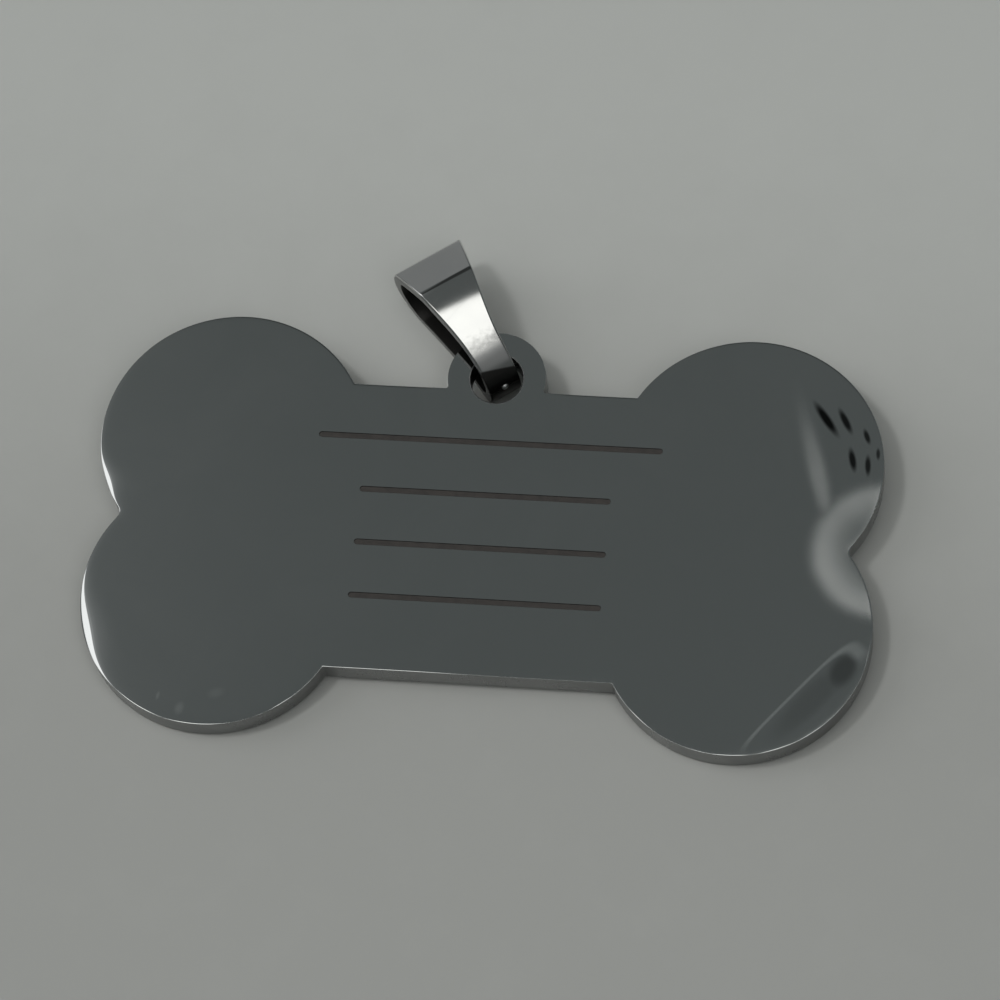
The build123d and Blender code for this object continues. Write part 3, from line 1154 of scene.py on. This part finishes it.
# Panels: azimuth, elevation, lean, half width, half height and soft edge in degrees, and the light that
# each adds, or takes away where it is dark
PANELS = (
    (196.4, 80.5, -71.6, 25, 11.5, 1.0, (1.53, 1.53, 1.48)),
    (172, 31, 0, 17, 22, 4, (1.32, 1.32, 1.32)),
    (146, 57, 0, 9, 10, 7, (0.25, 0.25, 0.25)),
    (128, 6, 0, 24, 19, 3, (0.14, 0.14, 0.14)),
    (95, 44, 0, 20, 16, 3, (-0.07, -0.078, -0.078)),
    (-42, 56, 0, 16, 24, 6, (0.22, 0.22, 0.22)),
    (-42, 74, 0, 18, 9, 8, (0.2, 0.2, 0.2)),
)


def toward(azimuth, elevation):
    """Direction from the tag, by its angles in degrees."""
    az, el = radians(azimuth), radians(elevation)
    return Vector((cos(el) * cos(az), cos(el) * sin(az), sin(el)))


def panel_group():
    """Brightness of one soft panel in a given direction."""
    sizes = dict.fromkeys(("Direction", "Middle", "Across", "Upward"), (0.0, 0.0, 1.0))
    sizes.update({"Half Width": 0.5, "Half Height": 0.5, "Soft Edge": 0.1})
    group, given, result = new_effect("soft_panel", sizes, ("Mask",))
    ahead = sum_up(group, "MAXIMUM", dot(group, given["Direction"], given["Middle"]), 0.001)
    masks = []
    for name, half in (("Across", "Half Width"), ("Upward", "Half Height")):
        away = sum_up(group, "DIVIDE", dot(group, given["Direction"], given[name]), ahead)
        away = sum_up(group, "ABSOLUTE", away)
        inner = sum_up(group, "SUBTRACT", given[half], given["Soft Edge"])
        outer = sum_up(group, "ADD", given[half], given["Soft Edge"])
        masks.append(soft_step(group, away, inner, outer, 1.0, 0.0))
    group.links.new(times(group, masks[0], masks[1]), result["Mask"])
    return group


def studio_light():
    """The room's colour plus the light of each panel."""
    world = bpy.data.worlds.new("studio")
    bpy.context.scene.world = world
    world.use_nodes = True
    tree = world.node_tree
    direction = add_node(tree, "ShaderNodeTexCoord").outputs["Generated"]
    group = panel_group()
    high = add_node(tree, "ShaderNodeSeparateXYZ", Vector=direction).outputs["Z"]
    light = mixed_colour(tree, soft_step(tree, high, -HORIZON_BLEND, HORIZON_BLEND), *ROOM)
    for azimuth, elevation, lean, half_width, half_height, edge, colour in PANELS:
        middle = toward(azimuth, elevation)
        across = toward(azimuth + 90, 0)
        turn = Matrix.Rotation(radians(lean), 3, middle)
        panel = place_effect(
            tree, group, Direction=direction, Middle=middle, Across=turn @ across,
            Upward=turn @ middle.cross(across), Half_Width=tan(radians(half_width)),
            Half_Height=tan(radians(half_height)), Soft_Edge=tan(radians(edge)),
        )
        glow = made(tree, "ShaderNodeVectorMath", {"operation": "SCALE"}, i0=colour, Scale=panel["Mask"])
        light = made(tree, "ShaderNodeVectorMath", {"operation": "ADD"}, i0=light, i1=glow)
    light = made(tree, "ShaderNodeVectorMath", {"operation": "MAXIMUM"}, i0=light, i1=DARKEST)
    tree.links.new(light, tree.nodes["Background"].inputs["Color"])


studio_light()

# Distance of the lamps from the tag, in metres
LAMP_AWAY = 0.6


def soft_lamp(name, azimuth, elevation, size, energy):
    """A round soft lamp. It lights the table and casts the shadows, and mirrors don't show it."""
    light = bpy.data.lights.new(name, "AREA")
    light.shape = "DISK"
    light.size = size
    light.energy = energy
    lamp = bpy.data.objects.new(name, light)
    lamp.location = toward(azimuth, elevation) * LAMP_AWAY
    lamp.rotation_euler = (-lamp.location).to_track_quat("-Z", "Y").to_euler()
    lamp.visible_glossy = False
    bpy.context.scene.collection.objects.link(lamp)


soft_lamp("left_lamp", azimuth=181, elevation=69, size=0.08, energy=0.53)
soft_lamp("near_right_lamp", azimuth=-50, elevation=62, size=0.3, energy=0.38)

# Camera at the photograph's viewing angle: its angles in degrees, and its place to the right, up and back
# from the middle of the plate's back face, in millimetres
CAMERA_AZIMUTH = -72.3735
CAMERA_ELEVATION = 67.2216
CAMERA_ROLL = -13.2621
CAMERA_PLACE = Vector((1.006, 2.713, 316.815))


def photo_camera():
    lens = bpy.data.cameras.new("photo_camera")
    lens.lens = 180.0
    lens.sensor_width = 36.0
    lens.clip_start = 0.01
    lens.clip_end = 10.0
    back = toward(CAMERA_AZIMUTH, CAMERA_ELEVATION)
    right = Matrix.Rotation(radians(CAMERA_ROLL), 3, back) @ toward(CAMERA_AZIMUTH + 90, 0)
    turn = Matrix((right, back.cross(right), back)).transposed()
    camera = bpy.data.objects.new("photo_camera", lens)
    camera.matrix_world = Matrix.LocRotScale(turn @ CAMERA_PLACE * MM, turn.to_quaternion(), None)
    bpy.context.scene.collection.objects.link(camera)
    bpy.context.scene.camera = camera


photo_camera()
bpy.context.scene.view_settings.view_transform = "Standard"
